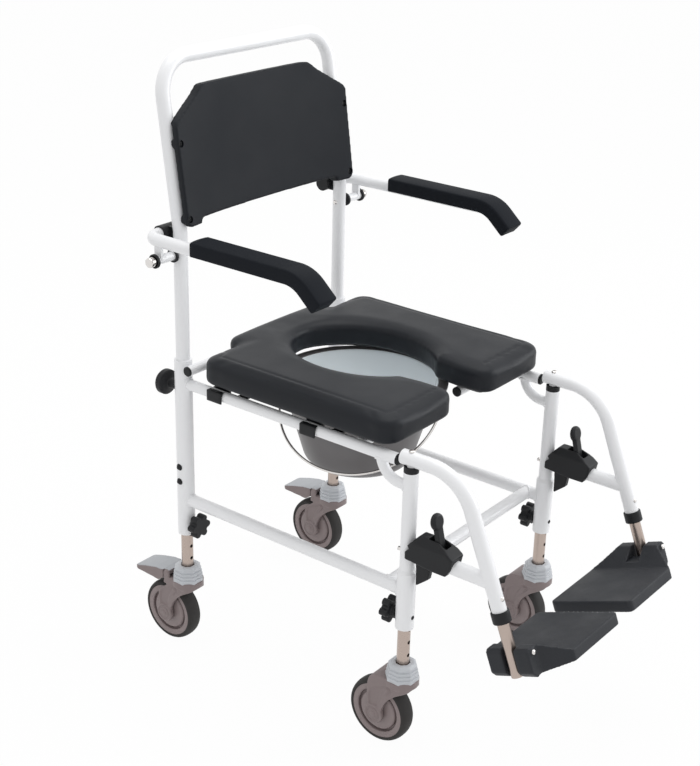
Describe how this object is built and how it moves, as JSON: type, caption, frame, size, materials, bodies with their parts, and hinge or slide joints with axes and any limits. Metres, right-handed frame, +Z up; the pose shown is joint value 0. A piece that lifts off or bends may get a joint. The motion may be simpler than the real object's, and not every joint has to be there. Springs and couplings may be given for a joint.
{
  "type": "shower commode chair",
  "caption": "Wheeled shower commode chair: white tubular frame, padded seat with hygiene opening, slide-out pan, fold-up armrests, swing-away footrests and braked castors.",
  "frame": {"origin": "on the floor under the middle of the whole chair's box", "axes": "+Z up, the occupant faces -Y, +X is the occupant's left"},
  "size_m": [0.5888, 0.9246, 1.1165],
  "materials": {
    "white_paint": "gloss powder coat",
    "soft_black": "fine grained integral skin foam",
    "black_plastic": "satin",
    "bright_steel": "bright",
    "wire_steel": "bright",
    "castor_plastic": "satin",
    "tyre_rubber": "matt",
    "pan_plastic": "satin"
  },
  "bodies": {
    "frame": {"rear_posts": "white_paint", "front_posts": "white_paint", "seat_rails": "white_paint", "rail_gussets": "white_paint", "lower_rails": "white_paint", "cross_tubes": "white_paint", "push_bar": "white_paint", "backrest_panel": "soft_black", "backrest_screws": "black_plastic", "tube_plugs": "black_plastic", "post_bushes": "black_plastic", "frame_bolts": "black_plastic", "armrest_sleeves": "black_plastic", "pan_runners": "black_plastic"},
    "seat": {"seat_cushion": "soft_black", "seat_base": "black_plastic"},
    "pan": {"commode_pan": "pan_plastic"},
    "pan_bail": {"pan_handle": "wire_steel"},
    "right_back_knob": {"right_back_knob": "black_plastic"},
    "left_back_knob": {"left_back_knob": "black_plastic"},
    "front_right_star_knob": {"front_right_star_knob": "black_plastic"},
    "front_right_leg": {"front_right_leg": "bright_steel"},
    "front_right_fork": {"front_right_fork": "castor_plastic"},
    "front_right_wheel": {"front_right_hub": "castor_plastic", "front_right_tyre": "tyre_rubber"},
    "front_left_star_knob": {"front_left_star_knob": "black_plastic"},
    "front_left_leg": {"front_left_leg": "bright_steel"},
    "front_left_fork": {"front_left_fork": "castor_plastic"},
    "front_left_wheel": {"front_left_hub": "castor_plastic", "front_left_tyre": "tyre_rubber"},
    "rear_right_star_knob": {"rear_right_star_knob": "black_plastic"},
    "rear_right_leg": {"rear_right_leg": "bright_steel"},
    "rear_right_fork": {"rear_right_fork": "castor_plastic"},
    "rear_right_wheel": {"rear_right_hub": "castor_plastic", "rear_right_tyre": "tyre_rubber"},
    "rear_left_star_knob": {"rear_left_star_knob": "black_plastic"},
    "rear_left_leg": {"rear_left_leg": "bright_steel"},
    "rear_left_fork": {"rear_left_fork": "castor_plastic"},
    "rear_left_wheel": {"rear_left_hub": "castor_plastic", "rear_left_tyre": "tyre_rubber"},
    "right_brake_pedal": {"right_brake_pedal": "castor_plastic"},
    "right_armrest": {"right_armrest_tube": "white_paint", "right_armrest_pad": "soft_black", "right_armrest_bushes": "black_plastic"},
    "right_lock": {"right_lock_plunger": "bright_steel"},
    "right_hanger": {"right_hanger": "white_paint", "right_latch_housing": "black_plastic"},
    "right_latch": {"right_latch_lever": "black_plastic"},
    "right_extension": {"right_extension": "bright_steel"},
    "right_footplate": {"right_footplate": "black_plastic"},
    "left_brake_pedal": {"left_brake_pedal": "castor_plastic"},
    "left_armrest": {"left_armrest_tube": "white_paint", "left_armrest_pad": "soft_black", "left_armrest_bushes": "black_plastic"},
    "left_lock": {"left_lock_plunger": "bright_steel"},
    "left_hanger": {"left_hanger": "white_paint", "left_latch_housing": "black_plastic"},
    "left_latch": {"left_latch_lever": "black_plastic"},
    "left_extension": {"left_extension": "bright_steel"},
    "left_footplate": {"left_footplate": "black_plastic"}
  },
  "joints": [
    {"name": "front_right_leg_height", "type": "slide", "parent": "frame", "child": "front_right_leg", "axis": [0, 0, 1], "range_m": [-0.025, 0.05]},
    {"name": "front_right_castor_swivel", "type": "hinge", "parent": "front_right_leg", "child": "front_right_fork", "pos_m": [-0.218, -0.16772, 0.147], "axis": [0, 0, 1], "continuous": true},
    {"name": "front_right_wheel_spin", "type": "hinge", "parent": "front_right_fork", "child": "front_right_wheel", "pos_m": [-0.218, -0.12772, 0.06], "axis": [1, 0, 0], "continuous": true},
    {"name": "front_right_star_knob_turn", "type": "hinge", "parent": "frame", "child": "front_right_star_knob", "pos_m": [-0.218, -0.14172, 0.262], "axis": [0, 1, 0], "continuous": true},
    {"name": "front_left_leg_height", "type": "slide", "parent": "frame", "child": "front_left_leg", "axis": [0, 0, 1], "range_m": [-0.025, 0.05]},
    {"name": "front_left_castor_swivel", "type": "hinge", "parent": "front_left_leg", "child": "front_left_fork", "pos_m": [0.218, -0.16772, 0.147], "axis": [0, 0, 1], "continuous": true},
    {"name": "front_left_wheel_spin", "type": "hinge", "parent": "front_left_fork", "child": "front_left_wheel", "pos_m": [0.218, -0.12772, 0.06], "axis": [1, 0, 0], "continuous": true},
    {"name": "front_left_star_knob_turn", "type": "hinge", "parent": "frame", "child": "front_left_star_knob", "pos_m": [0.218, -0.14172, 0.262], "axis": [0, 1, 0], "continuous": true},
    {"name": "rear_right_leg_height", "type": "slide", "parent": "frame", "child": "rear_right_leg", "axis": [0, 0, 1], "range_m": [-0.025, 0.05]},
    {"name": "rear_right_castor_swivel", "type": "hinge", "parent": "rear_right_leg", "child": "rear_right_fork", "pos_m": [-0.218, 0.33228, 0.147], "axis": [0, 0, 1], "continuous": true},
    {"name": "rear_right_wheel_spin", "type": "hinge", "parent": "rear_right_fork", "child": "rear_right_wheel", "pos_m": [-0.218, 0.37228, 0.06], "axis": [1, 0, 0], "continuous": true},
    {"name": "rear_right_star_knob_turn", "type": "hinge", "parent": "frame", "child": "rear_right_star_knob", "pos_m": [-0.218, 0.30628, 0.262], "axis": [0, 1, 0], "continuous": true},
    {"name": "rear_left_leg_height", "type": "slide", "parent": "frame", "child": "rear_left_leg", "axis": [0, 0, 1], "range_m": [-0.025, 0.05]},
    {"name": "rear_left_castor_swivel", "type": "hinge", "parent": "rear_left_leg", "child": "rear_left_fork", "pos_m": [0.218, 0.33228, 0.147], "axis": [0, 0, 1], "continuous": true},
    {"name": "rear_left_wheel_spin", "type": "hinge", "parent": "rear_left_fork", "child": "rear_left_wheel", "pos_m": [0.218, 0.37228, 0.06], "axis": [1, 0, 0], "continuous": true},
    {"name": "rear_left_star_knob_turn", "type": "hinge", "parent": "frame", "child": "rear_left_star_knob", "pos_m": [0.218, 0.30628, 0.262], "axis": [0, 1, 0], "continuous": true},
    {"name": "right_brake", "type": "hinge", "parent": "rear_right_fork", "child": "right_brake_pedal", "pos_m": [-0.218, 0.36528, 0.148], "axis": [-1, 0, 0], "range_deg": [0, 10]},
    {"name": "right_back_knob_turn", "type": "hinge", "parent": "frame", "child": "right_back_knob", "pos_m": [-0.218, 0.35828, 0.53], "axis": [0, 1, 0], "continuous": true},
    {"name": "right_armrest_fold", "type": "hinge", "parent": "frame", "child": "right_armrest", "pos_m": [-0.27, 0.35878, 0.815], "axis": [-1, 0, 0], "range_deg": [0, 100]},
    {"name": "right_lock_pull", "type": "slide", "parent": "right_armrest", "child": "right_lock", "axis": [-1, 0, 0], "range_m": [0, 0.008], "stiffness_N_per_m": 300, "springref_m": -0.004},
    {"name": "right_footrest_swing", "type": "hinge", "parent": "frame", "child": "right_hanger", "pos_m": [-0.218, -0.16772, 0.549], "axis": [0, 0, -1], "range_deg": [0, 90]},
    {"name": "right_latch_release", "type": "hinge", "parent": "right_hanger", "child": "right_latch", "pos_m": [-0.218, -0.23572, 0.399], "axis": [-1, 0, 0], "range_deg": [0, 18], "stiffness_Nm_per_rad": 0.4, "springref_deg": -5.73},
    {"name": "right_footrest_length", "type": "slide", "parent": "right_hanger", "child": "right_extension", "axis": [0, -0.3746, -0.9272], "range_m": [-0.02, 0.075]},
    {"name": "right_footplate_flip", "type": "hinge", "parent": "right_extension", "child": "right_footplate", "pos_m": [-0.218, -0.37349, 0.27733], "axis": [0, -0.9272, 0.3746], "range_deg": [0, 90]},
    {"name": "left_brake", "type": "hinge", "parent": "rear_left_fork", "child": "left_brake_pedal", "pos_m": [0.218, 0.36528, 0.148], "axis": [-1, 0, 0], "range_deg": [0, 10]},
    {"name": "left_back_knob_turn", "type": "hinge", "parent": "frame", "child": "left_back_knob", "pos_m": [0.218, 0.35828, 0.53], "axis": [0, 1, 0], "continuous": true},
    {"name": "left_armrest_fold", "type": "hinge", "parent": "frame", "child": "left_armrest", "pos_m": [0.27, 0.35878, 0.815], "axis": [-1, 0, 0], "range_deg": [0, 100]},
    {"name": "left_lock_pull", "type": "slide", "parent": "left_armrest", "child": "left_lock", "axis": [1, 0, 0], "range_m": [0, 0.008], "stiffness_N_per_m": 300, "springref_m": -0.004},
    {"name": "left_footrest_swing", "type": "hinge", "parent": "frame", "child": "left_hanger", "pos_m": [0.218, -0.16772, 0.549], "axis": [0, 0, 1], "range_deg": [0, 90]},
    {"name": "left_latch_release", "type": "hinge", "parent": "left_hanger", "child": "left_latch", "pos_m": [0.218, -0.23572, 0.399], "axis": [-1, 0, 0], "range_deg": [0, 18], "stiffness_Nm_per_rad": 0.4, "springref_deg": -5.73},
    {"name": "left_footrest_length", "type": "slide", "parent": "left_hanger", "child": "left_extension", "axis": [0, -0.3746, -0.9272], "range_m": [-0.02, 0.075]},
    {"name": "left_footplate_flip", "type": "hinge", "parent": "left_extension", "child": "left_footplate", "pos_m": [0.218, -0.37349, 0.27733], "axis": [0, 0.9272, -0.3746], "range_deg": [0, 90]},
    {"name": "seat_lift", "type": "slide", "parent": "frame", "child": "seat", "axis": [0, 0, 1], "range_m": [0, 0.12]},
    {"name": "pan_slide", "type": "slide", "parent": "frame", "child": "pan", "axis": [0, 1, 0], "range_m": [0, 0.4]},
    {"name": "pan_bail_swing", "type": "hinge", "parent": "pan", "child": "pan_bail", "pos_m": [0, 0.10328, 0.4995], "axis": [-0.2924, 0.9563, 0], "range_deg": [-142, 38]}
  ]
}
